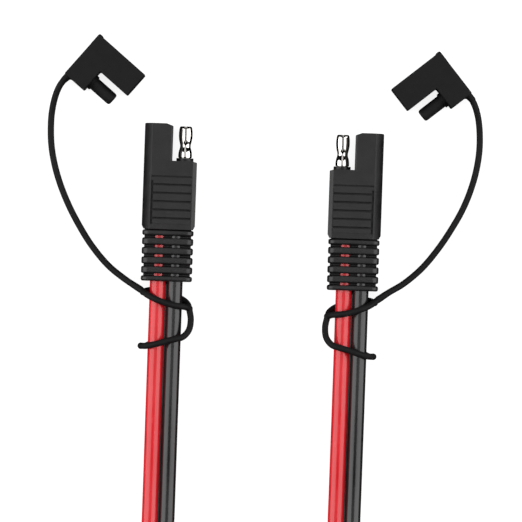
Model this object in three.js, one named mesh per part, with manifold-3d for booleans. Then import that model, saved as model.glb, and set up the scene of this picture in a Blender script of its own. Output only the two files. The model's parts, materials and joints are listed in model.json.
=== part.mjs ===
// A short two-core extension lead for solar panels and batteries, laid flat on a table.
// Each end carries a moulded two-pole connector (one bare pin beside one shrouded socket) and a
// rubber dust cap that hangs on a tether from a figure-eight ring threaded on the cable.
// Millimetres, +Z up. The origin is on the table, under the middle of the two ends.
//
// A connector is drawn in its own frame: +Y points out of the mating end, y = 0 is the end face
// of the socket block, x = 0 is the middle of the body and z = 0 is its mid-plane.
import * as THREE from "three";
import { mergeVertices } from "three/addons/utils/BufferGeometryUtils.js";
import Module from "manifold-3d";

const wasm = await Module();
wasm.setup();

// Places on the table, measured from a point that lies MIDDLE away from the origin.
const MIDDLE = [0.31, -0.68];
const AXIS_Z = 4.7;                 // height of every connector's mid-plane
const LEAN = -2;                    // degrees that both ends lean to the right
const ENDS = {
  a: { tip: [-29.52, 21.98], flipped: false, cap: [-51.76, 37.31], capTurn: 48.4 },
  b: { tip: [28.04, 19.07], flipped: true, cap: [52.46, 31.97], capTurn: -52.35 },
};

// Connector body.
const GAP = 0.3;                    // play between two pieces that touch
const HALF_WIDTH = 8.2;
const HALF_THICK = 4.4;
const BLOCK_INNER_X = 0.5;          // the socket block's face that looks at the pin
const SHELF_Y = -11.5;              // the shoulder that the pin stands on
const BODY_BACK_Y = -32.7;
const OUTER_SIDE = [[-5.7, 4.4], [-7.1, 3], [-8.2, 0.8]];     // x, z of the side beside the socket
const PANEL = { left: -5.6, right: 6.8, front: -16.65, back: -31, rise: 0.3 };
const GROOVE = { first: -16.4, pitch: 2.6, count: 6, width: 0.5, deep: 0.15 };

// Strain relief.
const BOOT = { front: -33, back: -48.7, halfWidth: 7.9, halfThick: 4.2 };
const SLOT = { first: -35, pitch: 2.94, count: 5, width: 1 };
const SPINE = { halfWidth: 7.2, halfThick: 2.1 };

// Contacts and the carrier that holds them.
const PIN_X = 4.45;
const SOCKET_X = -3.3;
const SOCKET_BORE_R = 2.1;
const SOCKET_TUBE_R = 2.5;
const BARREL_R = 2;
const BARREL_BORE_R = 1.6;
const BARREL = { front: -19, back: -24.4, floor: -19.6 };
const SHANK_R = 1.7;
const PIN_R = 2.12;                 // at the widest part of the pin's nose
const PIN_BASE_Y = -10.3;
const NOSE = { radius: 2.65, proud: 0.9 };                    // the carrier's foot for the pin
const SLIT = { width: 0.44, back: -6.4, count: 3 };
const CARRIER = { left: -5.9, right: 6.9, front: -14.5, back: -29.5, halfThick: 2.7 };
const CHAMBERS = { x: [[0.4, 6.6], [-5.5, -0.4]], front: -23, halfThick: 2.2 };

// Cable.
const CORE_R = 2.45;
const CORE_X = 2.6;                 // each core's distance from the middle of the cable
const STRANDS_R = 1.3;
const CORE_STEPS = 44;
const CORE_SIDES = 12;

// Dust cap, in the frame of the connector that it closes.
const CAP = { blockEnd: -10.8, seat: 0.3, back: 8.2, far: -7.1, inner: 0.7, outer: 9.1, halfThick: 4.7 };
const CAP_LIP = { proud: 0.3, thick: 1.6 };
const CAP_MOUTH = 0.6;              // depth of the wider mouth that clears the carrier's nose
const PEG = { radius: 2, end: -8.4, flangeRadius: 2.5, flange: 1, chamfer: 0.5 };
const TETHER_R = 1;
const TETHER_STEPS = 18;
const TETHER_SIDES = 8;

// Figure-eight ring: the strand's middle, in the connector's frame on end a, as points through
// which the rubber passes over the cable (z > 0) and back under it (z < 0).
const RING_R = 0.875;
const BEAD_R = 1;                   // where two strands meet
const JUNCTION = [-7, -53.2, 0];
const KNOT = [7.4, -57, 0];
const CROSSING = [4.8, -54.1, -3.4];
const FAR_TIP = [-7.2, -69, 0];
const RING_STRANDS = [
  [JUNCTION, [-5.7, -53.4, 2.4], [-2.8, -54.9, 3.58], [0.15, -55.9, 3.58], [3.2, -56.7, 3.5],
    [6.1, -57.2, 2], KNOT],
  [JUNCTION, [-6.6, -52.1, -2.2], [-4.6, -51.7, -3.4], [0, -52.9, -3.58], CROSSING,
    [6.7, -55.5, -2.3], KNOT],
  [KNOT, [8, -60.4, 0.8], [7.5, -63.7, 2], [5.7, -65.8, 3], [3.5, -66.5, 3.58], [0.5, -67.3, 3.58],
    [-2.4, -68.2, 3.55], [-5.3, -68.9, 2.5], FAR_TIP],
  [CROSSING, [3.2, -56.6, -3.55], [0.6, -60.9, -3.58], [-2, -65.1, -3.58], [-4.4, -67.6, -3.45],
    [-6.3, -68.7, -2.3], FAR_TIP],
];

// The cable's middle on the table: x, y, z and the roll of the pair of cores, in degrees. It runs
// straight back from each boot, comes down to the table, and turns round with half a twist, so
// that the red core is the left one at both ends.
const CABLE_ROUTE = [
  [-30.57, -8.1, 4.7, 0], [-31.22, -26.69, 4.7, 0], [-31.82, -43.98, 4.7, 0],
  [-32.31, -57.97, 4.7, 0], [-32.52, -63.97, 4.7, 0], [-32.94, -75.96, 3.85, 0],
  [-33.43, -89.95, 2.7, 0], [-33.78, -99.94, 2.5, 0], [-33.99, -105.94, 2.5, 0],
  [-32.19, -117.03, 2.86, 8], [-26.27, -126.59, 3.72, 28], [-17.15, -133.16, 4.68, 57],
  [-6.22, -135.73, 5.1, 90], [4.87, -133.93, 4.68, 123], [14.43, -128.01, 3.72, 152],
  [21, -118.89, 2.86, 172], [23.57, -107.95, 2.5, 180], [23.86, -99.86, 2.5, 180],
  [24.13, -92.86, 2.65, 180], [24.62, -78.87, 3.8, 180], [25.04, -66.88, 4.7, 180],
  [25.25, -60.88, 4.7, 180], [25.74, -46.89, 4.7, 180], [26.34, -29.6, 4.7, 180],
  [26.99, -11.01, 4.7, 180],
];

// The tethers' middles, from the cap to the ring: they drop from the cap to the table and rise again.
const TETHER_ROUTES = {
  a: [
    [-62.79, 35.73, 4.7], [-64.28, 33.99, 4.3], [-65.52, 30.89, 3.2], [-66.76, 25.63, 1.6],
    [-67.1, 20.06, 1.1], [-66.85, 14.79, 1.05], [-65.8, 8.91, 1.05], [-64.07, 3.03, 1.05],
    [-61.56, -3.16, 1.05], [-58.37, -9.35, 1.05], [-54.53, -15.55, 1.05], [-49.42, -21.74, 1.5],
    [-44.62, -26.01, 2.8], [-40.9, -28.75, 4.2], [-39.29, -30.03, 4.7],
  ],
  b: [
    [63.35, 29.64, 4.7], [64.48, 27.18, 4.2], [65.47, 23.46, 3], [65.96, 18.2, 1.6],
    [65.78, 12.94, 1.1], [64.79, 7.05, 1.05], [63.05, 1.17, 1.05], [60.58, -4.71, 1.05],
    [57.23, -10.59, 1.05], [53.05, -16.78, 1.05], [47.95, -22.98, 1.3], [42.22, -27.93, 2.5],
    [37.73, -30.9, 4], [34.22, -33.56, 4.7],
  ],
};

const MATERIALS = {
  overmould: { color: 0x3a3a3a, roughness: 0.5, metalness: 0 },
  carrier: { color: 0x101010, roughness: 0.45, metalness: 0 },
  rubber: { color: 0x242324, roughness: 0.7, metalness: 0 },
  redPvc: { color: 0xd8323a, roughness: 0.35, metalness: 0 },
  blackPvc: { color: 0x1c1a1b, roughness: 0.35, metalness: 0 },
  nickel: { color: 0xc9c7c4, roughness: 0.12, metalness: 1 },
  copper: { color: 0xb87345, roughness: 0.35, metalness: 1 },
};

// A closed three.js geometry as a manifold solid, and a solid as a geometry.
function solidOf(geometry) {
  const bare = geometry.clone();
  bare.deleteAttribute("normal");
  bare.deleteAttribute("uv");
  const merged = mergeVertices(bare, 1e-4);
  return new wasm.Manifold(new wasm.Mesh({
    numProp: 3,
    vertProperties: new Float32Array(merged.attributes.position.array),
    triVerts: new Uint32Array(merged.index.array),
  }));
}

function geometryOf(solid) {
  const mesh = solid.getMesh();
  const geometry = new THREE.BufferGeometry();
  geometry.setAttribute("position", new THREE.BufferAttribute(mesh.vertProperties, 3));
  geometry.setIndex(new THREE.BufferAttribute(mesh.triVerts, 1));
  geometry.computeVertexNormals();
  return geometry;
}

function box(left, right, front, back, low, high) {
  const geometry = new THREE.BoxGeometry(right - left, front - back, high - low);
  geometry.translate((left + right) / 2, (front + back) / 2, (low + high) / 2);
  return solidOf(geometry);
}

// An outline of [x, z] points, run along Y from front to back.
function bar(outline, front, back) {
  const shape = new THREE.Shape(outline.map(([x, z]) => new THREE.Vector2(x, z)));
  const geometry = new THREE.ExtrudeGeometry(shape, { depth: front - back, bevelEnabled: false });
  geometry.rotateX(Math.PI / 2);
  geometry.translate(0, front, 0);
  return solidOf(geometry);
}

// An outline of [x, y] points, as thick as the piece.
function plate(outline, halfThick) {
  const shape = new THREE.Shape(outline.map(([x, y]) => new THREE.Vector2(x, y)));
  const geometry = new THREE.ExtrudeGeometry(shape, { depth: 2 * halfThick, bevelEnabled: false });
  geometry.translate(0, 0, -halfThick);
  return solidOf(geometry);
}

// A [radius, y] profile from the back to the front, turned about the line x.
function turned(profile, x, sides = 24) {
  const points = profile.map(([radius, y]) => new THREE.Vector2(radius, y));
  const geometry = new THREE.LatheGeometry(points, sides);
  geometry.translate(x, 0, 0);
  return solidOf(geometry);
}

function rod(radius, x, front, back, sides = 24) {
  return turned([[0, back], [radius, back], [radius, front], [0, front]], x, sides);
}

// A round tube of rubber, plastic or wire along points.
function tube(points, radius, steps, sides) {
  const section = [];
  for (let i = 0; i < sides; i += 1) {
    const angle = (2 * Math.PI * i) / sides;
    section.push(new THREE.Vector2(radius * Math.cos(angle), radius * Math.sin(angle)));
  }
  const extrudePath = new THREE.CatmullRomCurve3(points.map((p) => new THREE.Vector3(...p)));
  return new THREE.ExtrudeGeometry(new THREE.Shape(section), { steps, extrudePath });
}

function piece(name, shape, material) {
  const geometry = shape.isBufferGeometry ? shape : geometryOf(shape);
  const mesh = new THREE.Mesh(geometry, new THREE.MeshStandardMaterial(MATERIALS[material]));
  mesh.name = name;
  return mesh;
}

// The moulded body: a flat housing with a socket block, a shelf for the pin and a ribbed grip
// on both faces, hollow for the carrier, the socket and the two cores.
function overmould() {
  const below = OUTER_SIDE.map(([x, z]) => [x, -z]);
  const bodySection = [
    ...below, ...OUTER_SIDE.toReversed(),
    [7.1, HALF_THICK], [HALF_WIDTH, 3.4], [HALF_WIDTH, -3.4], [7.1, -HALF_THICK],
  ].reverse();
  const outline = [
    [-7.9, 0], [-HALF_WIDTH, -0.5], [-HALF_WIDTH, -31.6], [-7.6, BODY_BACK_Y], [7.6, BODY_BACK_Y],
    [HALF_WIDTH, -31.6], [HALF_WIDTH, SHELF_Y - 0.4], [6.9, SHELF_Y], [BLOCK_INNER_X, SHELF_Y],
    [BLOCK_INNER_X, -0.7], [-1.4, 0],
  ];
  let body = bar(bodySection, 0, BODY_BACK_Y).intersect(plate(outline, HALF_THICK + 1));

  const top = HALF_THICK + PANEL.rise;
  for (const side of [-1, 1]) {
    const faces = [side * (HALF_THICK - 0.5), side * top].sort((p, q) => p - q);
    body = body.add(box(PANEL.left, PANEL.right, PANEL.front, PANEL.back, ...faces));
    for (let i = 0; i < GROOVE.count; i += 1) {
      const middle = GROOVE.first - i * GROOVE.pitch;
      const depth = [side * (HALF_THICK - GROOVE.deep), side * (top + 1)].sort((p, q) => p - q);
      const edges = [middle + GROOVE.width / 2, middle - GROOVE.width / 2];
      body = body.subtract(box(PANEL.left, PANEL.right, ...edges, ...depth));
    }
  }

  const pocket = box(
    CARRIER.left - GAP, CARRIER.right + GAP, CARRIER.front + GAP, CARRIER.back - GAP,
    -CARRIER.halfThick - GAP, CARRIER.halfThick + GAP,
  );
  body = body.subtract(pocket);
  body = body.subtract(rod(NOSE.radius + GAP, PIN_X, SHELF_Y + 1, CARRIER.front));
  body = body.subtract(rod(SOCKET_TUBE_R + GAP, SOCKET_X, 1, CARRIER.front));
  for (const side of [-1, 1]) {
    body = body.subtract(rod(CORE_R + GAP, side * CORE_X, CARRIER.back, BODY_BACK_Y - 1));
  }
  return body;
}

// The bend-relief boot: six flat ribs on a thin spine, with slots that show the cores.
function strainRelief() {
  const rib = [
    [-BOOT.halfWidth, -2.4], [-6.2, -BOOT.halfThick], [6.2, -BOOT.halfThick], [BOOT.halfWidth, -2.4],
    [BOOT.halfWidth, 2.4], [6.2, BOOT.halfThick], [-6.2, BOOT.halfThick], [-BOOT.halfWidth, 2.4],
  ];
  let boot = box(
    -SPINE.halfWidth, SPINE.halfWidth, BOOT.front, BOOT.back, -SPINE.halfThick, SPINE.halfThick,
  );
  for (let i = 0; i <= SLOT.count; i += 1) {
    const slot = SLOT.first - i * SLOT.pitch;
    const front = i === 0 ? BOOT.front : slot + SLOT.pitch - SLOT.width / 2;
    const back = i === SLOT.count ? BOOT.back : slot + SLOT.width / 2;
    boot = boot.add(bar(rib, front, back));
  }
  for (const side of [-1, 1]) {
    boot = boot.subtract(rod(CORE_R + GAP, side * CORE_X, BOOT.front + 1, BOOT.back - 1));
  }
  return boot;
}

// The hard inner moulding that holds both contacts. Its round nose stands out of the shelf.
function terminalCarrier() {
  let carrier = box(
    CARRIER.left, CARRIER.right, CARRIER.front, CARRIER.back, -CARRIER.halfThick, CARRIER.halfThick,
  );
  carrier = carrier.add(rod(NOSE.radius, PIN_X, SHELF_Y + NOSE.proud, CARRIER.front - 1));
  const { x: sides, front, halfThick } = CHAMBERS;
  for (const [left, right] of sides) {
    carrier = carrier.subtract(box(left, right, front, CARRIER.back - 1, -halfThick, halfThick));
  }
  for (const x of [PIN_X, SOCKET_X]) {
    carrier = carrier.subtract(rod(SHANK_R + GAP, x, 0, BARREL.front - 1));
    carrier = carrier.subtract(rod(BARREL_R + GAP, x, BARREL.front + GAP, front - 1));
  }
  return carrier;
}

// The crimp barrel that ends both contacts: a [radius, y] profile that stops on the shank.
const BARREL_PROFILE = [
  [0, BARREL.floor], [BARREL_BORE_R, BARREL.floor], [BARREL_BORE_R, BARREL.back],
  [BARREL_R, BARREL.back], [BARREL_R, BARREL.front], [SHANK_R, BARREL.front],
];

// The bare pin: a bulbous nose slit into three leaves that spring into the socket, a waist, a
// solid shank and a crimp barrel. slitTurn is where the first slit faces, in degrees from +Z.
function malePin(slitTurn) {
  const profile = [
    ...BARREL_PROFILE, [SHANK_R, PIN_BASE_Y], [2.1, PIN_BASE_Y], [2.1, -9.3], [1.9, -8.1],
    [1.65, -7.2], [1.65, -6.6], [1.9, -5.6], [2.08, -4.2], [PIN_R, -2.8], [2.05, -1.5], [1.8, -0.7],
    [0.9, -0.7], [0.9, -8], [0, -8],
  ];
  let pin = turned(profile, 0);
  for (let i = 0; i < SLIT.count; i += 1) {
    const slit = box(-SLIT.width / 2, SLIT.width / 2, 0, SLIT.back, 0, PIN_R + 1);
    pin = pin.subtract(slit.rotate([0, slitTurn + (360 * i) / SLIT.count, 0]));
  }
  return pin.translate([PIN_X, 0, 0]);
}

// The shrouded contact: a plain tube that the other connector's pin enters, and a crimp barrel.
function femaleSocket() {
  const profile = [
    ...BARREL_PROFILE, [SHANK_R, -14], [SOCKET_TUBE_R, -13.5], [SOCKET_TUBE_R, -1.1],
    [SOCKET_BORE_R, -1.1], [SOCKET_BORE_R, -12], [0, -12],
  ];
  return turned(profile, SOCKET_X);
}

// A core's stripped end, bent over from the core's line to the crimp barrel.
function strands(coreX, barrelX) {
  const middle = (coreX + barrelX) / 2;
  const points = [
    [coreX, -29.6, 0], [coreX, -28.6, 0], [middle, -27, 0], [barrelX, -25.4, 0], [barrelX, -24, 0],
    [barrelX, -20.2, 0],
  ];
  return tube(points, STRANDS_R, 12, 10);
}

// The rubber cap: a base with a lip, a sleeve block that swallows the bare pin, a peg that plugs
// the socket, and a root for the tether.
function dustCap() {
  const outline = [
    [CAP.outer, CAP.blockEnd], [CAP.outer, CAP.back - CAP_LIP.thick],
    [CAP.outer + CAP_LIP.proud, CAP.back - CAP_LIP.thick], [CAP.outer + CAP_LIP.proud, CAP.back],
    [CAP.far, CAP.back], [CAP.far, CAP.seat], [CAP.inner, CAP.seat], [CAP.inner, CAP.blockEnd],
  ].reverse();
  let cap = plate(outline, CAP.halfThick);
  const root = [
    [CAP.far - 1.2, CAP.back], [CAP.far - 1.2, CAP.back - 2], [CAP.far - 0.5, CAP.back - 2.3],
    [CAP.far, CAP.back - 2.9], [CAP.far + 1, CAP.back - 2.9], [CAP.far + 1, CAP.back],
  ];
  cap = cap.add(plate(root, TETHER_R));
  const peg = [
    [0, PEG.end], [PEG.radius - PEG.chamfer, PEG.end], [PEG.radius, PEG.end + PEG.chamfer],
    [PEG.radius, CAP.seat - PEG.flange], [PEG.flangeRadius, CAP.seat - PEG.flange],
    [PEG.flangeRadius, CAP.seat + 1], [0, CAP.seat + 1],
  ];
  cap = cap.add(turned(peg, SOCKET_X));
  cap = cap.subtract(rod(PIN_R + GAP, PIN_X, 0, CAP.blockEnd - 1));
  const mouth = rod(NOSE.radius + GAP, PIN_X, CAP.blockEnd + CAP_MOUTH, CAP.blockEnd - 1);
  return cap.subtract(mouth);
}

// The figure-eight ring. side is 1 on end a and -1 on end b, whose ring is the mirror image.
function retainingRing(side) {
  const strandsOf = RING_STRANDS.map((points) => {
    const placed = points.map(([x, y, z]) => [side * x, y, z]);
    return solidOf(tube(placed, RING_R, 14, TETHER_SIDES));
  });
  const beads = [JUNCTION, KNOT, FAR_TIP].map(([x, y, z]) => {
    const bead = new THREE.SphereGeometry(BEAD_R, 10, 8);
    bead.translate(side * x, y, z);
    return solidOf(bead);
  });
  return [...strandsOf, ...beads].reduce((whole, next) => whole.add(next));
}

// One core of the cable. pole is 1 for the core that starts on the right and -1 for the left one.
function core(pole) {
  const middles = CABLE_ROUTE.map((p) => new THREE.Vector3(p[0], p[1], p[2]));
  const points = CABLE_ROUTE.map(([, , , roll], i) => {
    const before = middles[Math.max(i - 1, 0)];
    const after = middles[Math.min(i + 1, middles.length - 1)];
    const heading = after.clone().sub(before).setZ(0).normalize();
    const across = new THREE.Vector3(-heading.y, heading.x, 0);
    const turn = THREE.MathUtils.degToRad(roll);
    const offset = across.multiplyScalar(pole * CORE_X * Math.cos(turn));
    offset.z = -pole * CORE_X * Math.sin(turn);
    return middles[i].clone().add(offset).toArray();
  });
  return tube(points, CORE_R, CORE_STEPS, CORE_SIDES);
}

// All the rigid pieces of one end, placed on the table.
function endOf(key) {
  const { tip, flipped, cap, capTurn } = ENDS[key];
  const onPin = flipped ? "red" : "black";
  const onSocket = flipped ? "black" : "red";

  const moulding = new THREE.Group();
  moulding.add(piece(`overmould_${key}`, overmould(), "overmould"));
  moulding.add(piece(`strain_relief_${key}`, strainRelief(), "overmould"));
  moulding.add(piece(`terminal_carrier_${key}`, terminalCarrier(), "carrier"));
  moulding.add(piece(`male_pin_${key}`, malePin(flipped ? 180 : 0), "nickel"));
  moulding.add(piece(`female_socket_${key}`, femaleSocket(), "nickel"));
  moulding.add(piece(`${onPin}_strands_${key}`, strands(CORE_X, PIN_X), "copper"));
  moulding.add(piece(`${onSocket}_strands_${key}`, strands(-CORE_X, SOCKET_X), "copper"));
  moulding.rotation.y = flipped ? Math.PI : 0;

  const end = new THREE.Group();
  end.add(moulding);
  end.add(piece(`retaining_ring_${key}`, retainingRing(flipped ? -1 : 1), "rubber"));
  end.rotation.z = THREE.MathUtils.degToRad(LEAN);
  end.position.set(tip[0], tip[1], AXIS_Z);

  const capMesh = piece(`dust_cap_${key}`, dustCap(), "rubber");
  capMesh.rotation.y = flipped ? Math.PI : 0;
  const capPlace = new THREE.Group();
  capPlace.add(capMesh);
  capPlace.rotation.z = THREE.MathUtils.degToRad(capTurn);
  capPlace.position.set(cap[0], cap[1], AXIS_Z);

  const tether = tube(TETHER_ROUTES[key], TETHER_R, TETHER_STEPS, TETHER_SIDES);
  return [end, capPlace, piece(`tether_${key}`, tether, "rubber")];
}

const lead = new THREE.Group();
lead.add(...endOf("a"), ...endOf("b"));
lead.add(piece("red_core", core(-1), "redPvc"));
lead.add(piece("black_core", core(1), "blackPvc"));
lead.position.set(-MIDDLE[0], -MIDDLE[1], 0);

export default lead;
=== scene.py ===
# %% [markdown]
# # A two-core lead with capped bullet connectors
# The real object is a short extension lead for a solar panel or a battery. Two thick PVC cores,
# red and black, run side by side between two moulded connectors. Each connector has one bare pin
# and one shrouded socket, and a rubber cap on a tether keeps both clean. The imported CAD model
# says where everything is and what moves; this script gives each piece its finished shape and
# surface. It loads the frame first, because every later cell reads its boxes, mounts and joints.

# %% Load the frame
import json
import math

import bpy
from mathutils import Matrix, Vector


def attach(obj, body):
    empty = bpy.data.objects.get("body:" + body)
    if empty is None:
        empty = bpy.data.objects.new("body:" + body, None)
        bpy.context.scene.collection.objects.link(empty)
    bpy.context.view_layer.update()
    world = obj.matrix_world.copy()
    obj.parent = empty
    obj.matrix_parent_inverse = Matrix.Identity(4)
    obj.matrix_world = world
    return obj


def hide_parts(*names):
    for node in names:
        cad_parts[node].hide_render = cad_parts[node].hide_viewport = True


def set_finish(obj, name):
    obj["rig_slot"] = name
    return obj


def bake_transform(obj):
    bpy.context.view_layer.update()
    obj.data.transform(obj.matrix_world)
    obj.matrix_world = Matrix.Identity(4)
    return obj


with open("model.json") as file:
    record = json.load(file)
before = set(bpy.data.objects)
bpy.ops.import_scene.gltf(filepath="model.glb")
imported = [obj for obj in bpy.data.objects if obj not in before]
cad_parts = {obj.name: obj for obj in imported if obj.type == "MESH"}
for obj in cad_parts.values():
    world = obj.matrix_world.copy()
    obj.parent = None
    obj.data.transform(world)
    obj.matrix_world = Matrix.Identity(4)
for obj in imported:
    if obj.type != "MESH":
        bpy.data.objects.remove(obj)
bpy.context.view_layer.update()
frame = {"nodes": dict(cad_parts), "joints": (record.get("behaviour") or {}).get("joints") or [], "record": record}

record = frame["record"]
MM = 0.001
bpy.ops.object.select_all(action="DESELECT")

# %% [markdown]
# ## Camera
# The lead lies flat and is seen from straight above through a long lens, so that its two ends are
# drawn almost without perspective. The lens follows from the width that the view should span at
# the height of the connectors' middle.

# %% Camera
VIEW_WIDTH = 0.1616
VIEW_MIDDLE = Vector((-0.00221, -0.01982, 0.0047))
CAMERA_DISTANCE = 1.6

camera_data = bpy.data.cameras.new("camera")
camera_data.sensor_width = 36
camera_data.lens = camera_data.sensor_width * CAMERA_DISTANCE / VIEW_WIDTH
camera_data.clip_start = 0.1
camera_data.clip_end = 20
camera = bpy.data.objects.new("camera", camera_data)
camera.location = VIEW_MIDDLE + Vector((0, 0, CAMERA_DISTANCE))
bpy.context.scene.collection.objects.link(camera)
bpy.context.scene.camera = camera
print("lens", round(camera_data.lens, 1), "mm")

# %% [markdown]
# ## Lines for cords
# A cord is a round section carried along a smooth line through a few chosen points. The line is a
# centripetal Catmull-Rom curve, the same kind that the CAD model uses, so a finished cord lies
# where its stand-in lies. Only the last 2 mm of a tether are led a little aside, to run into the
# ring's front strand in line.


# %% Smooth line
TINY = 1e-9              # keeps two points that coincide from dividing by zero


def smooth_line(points, step):
    """Points about step apart on the centripetal Catmull-Rom curve through points."""
    padded = [2 * points[0] - points[1], *points, 2 * points[-1] - points[-2]]
    line = []
    for before, start, end, after in zip(padded, padded[1:], padded[2:], padded[3:]):
        t0 = 0
        t1 = t0 + max((start - before).length, TINY) ** 0.5
        t2 = t1 + max((end - start).length, TINY) ** 0.5
        t3 = t2 + max((after - end).length, TINY) ** 0.5
        count = max(2, round((end - start).length / step))
        for i in range(count):
            t = t1 + (t2 - t1) * i / count
            a1 = before * ((t1 - t) / (t1 - t0)) + start * ((t - t0) / (t1 - t0))
            a2 = start * ((t2 - t) / (t2 - t1)) + end * ((t - t1) / (t2 - t1))
            a3 = end * ((t3 - t) / (t3 - t2)) + after * ((t - t2) / (t3 - t2))
            b1 = a1 * ((t2 - t) / (t2 - t0)) + a2 * ((t - t0) / (t2 - t0))
            b2 = a2 * ((t3 - t) / (t3 - t1)) + a3 * ((t - t1) / (t3 - t1))
            line.append(b1 * ((t2 - t) / (t2 - t1)) + b2 * ((t - t1) / (t2 - t1)))
    line.append(points[-1].copy())
    return line


# %% [markdown]
# The tube's rings turn as little as possible from one to the next. A fixed "up" would do on the
# table, but it would pinch where a strand of the ring stands upright.


# %% Tube along a line
def tube(name, line, radius, sides, radii=None):
    """A closed round tube along line. radii gives each ring's own radius where the cord tapers."""
    verts, faces, along = [], [], [0.0]
    tangent = (line[1] - line[0]).normalized()
    side = tangent.orthogonal().normalized()
    for i, point in enumerate(line):
        ahead = line[min(i + 1, len(line) - 1)] - line[max(i - 1, 0)]
        turn = tangent.rotation_difference(ahead.normalized())
        tangent = ahead.normalized()
        side = (turn @ side).normalized()
        other = tangent.cross(side)
        thick = radii[i] if radii else radius
        for k in range(sides):
            angle = 2 * math.pi * k / sides
            verts.append(point + thick * (math.cos(angle) * side + math.sin(angle) * other))
        if i:
            along.append(along[-1] + (point - line[i - 1]).length)
    for i in range(len(line) - 1):
        for k in range(sides):
            a, b = i * sides + k, i * sides + (k + 1) % sides
            faces.append((a, b, b + sides, a + sides))
    faces.append(tuple(reversed(range(sides))))
    faces.append(tuple(range((len(line) - 1) * sides, len(line) * sides)))
    mesh = bpy.data.meshes.new(name)
    mesh.from_pydata(verts, [], faces)
    uv = mesh.uv_layers.new(name="UVMap")
    for face in mesh.polygons:
        for corner, vertex in zip(face.loop_indices, face.vertices):
            ring, k = divmod(vertex, sides)
            closes_round = k == 0 and any(v % sides == sides - 1 for v in face.vertices)
            uv.data[corner].uv = (1.0 if closes_round else k / sides, along[ring])
    mesh.shade_smooth()
    obj = bpy.data.objects.new(name, mesh)
    bpy.context.scene.collection.objects.link(obj)
    return obj


# %% [markdown]
# ## The cable
# The cable's two cores leave each strain relief side by side, come down to the table, and turn
# round outside the view with half a twist. One list says where the middle of the pair goes and
# how far the pair has rolled. Each core's own line is worked out from it. A thin web of the same
# PVC joins the two cores, as in real twin cable, which comes out of one die.

# %% Cable route
MIDDLE = Vector((0.31, -0.68, 0)) * MM   # the CAD frame's origin, on the axes the routes use
CORE_SPREAD = 0.0026                     # from the middle of the pair to the middle of a core
CORE_SHOWN_RADIUS = 0.00248              # a hair over half the diameter, to narrow the gap
CORE_STEP = 0.0015
CORE_SIDES = 40
WEB_RADIUS = 0.0006
WEB_SIDES = 12
WEB_TRIM = 12                            # the web starts and ends inside the strain reliefs
CABLE_ROUTE = [                          # x, y and z in metres, and the roll in degrees
    (-0.03057, -0.00810, 0.00470, 0), (-0.03122, -0.02669, 0.00470, 0),
    (-0.03182, -0.04398, 0.00470, 0), (-0.03231, -0.05797, 0.00470, 0),
    (-0.03252, -0.06397, 0.00470, 0), (-0.03294, -0.07596, 0.00385, 0),
    (-0.03343, -0.08995, 0.00270, 0), (-0.03378, -0.09994, 0.00250, 0),
    (-0.03399, -0.10594, 0.00250, 0), (-0.03219, -0.11703, 0.00286, 8),
    (-0.02627, -0.12659, 0.00372, 28), (-0.01715, -0.13316, 0.00468, 57),
    (-0.00622, -0.13573, 0.00510, 90), (0.00487, -0.13393, 0.00468, 123),
    (0.01443, -0.12801, 0.00372, 152), (0.02100, -0.11889, 0.00286, 172),
    (0.02357, -0.10795, 0.00250, 180), (0.02386, -0.09986, 0.00250, 180),
    (0.02413, -0.09286, 0.00265, 180), (0.02462, -0.07887, 0.00380, 180),
    (0.02504, -0.06688, 0.00470, 180), (0.02525, -0.06088, 0.00470, 180),
    (0.02574, -0.04689, 0.00470, 180), (0.02634, -0.02960, 0.00470, 180),
    (0.02699, -0.01101, 0.00470, 180),
]


def core_line(pole):
    """The line of one core: pole is 1 for the core that starts on the right, -1 for the left."""
    middles = [Vector(p[:3]) - MIDDLE for p in CABLE_ROUTE]
    points = []
    for i, middle in enumerate(middles):
        heading = middles[min(i + 1, len(middles) - 1)] - middles[max(i - 1, 0)]
        heading.z = 0
        heading.normalize()
        roll = math.radians(CABLE_ROUTE[i][3])
        across = Vector((-heading.y, heading.x, 0)) * math.cos(roll)
        across.z = -math.sin(roll)
        points.append(middle + pole * CORE_SPREAD * across)
    return smooth_line(points, CORE_STEP)


def length_of(line):
    return sum((b - a).length for a, b in zip(line, line[1:]))


middle_line = core_line(0)
web = tube("cable_web", middle_line[WEB_TRIM:-WEB_TRIM], WEB_RADIUS, WEB_SIDES)
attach(web, "lead")
cores = {}
for core_name, core_pole in (("red_core", -1), ("black_core", 1)):
    path = core_line(core_pole)
    core = tube(core_name + "_insulation", path, CORE_SHOWN_RADIUS, CORE_SIDES)
    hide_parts(core_name)
    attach(core, "lead")
    cores[core_name] = core
    print(core_name, "is", round(length_of(path), 4), "m long")
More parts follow.
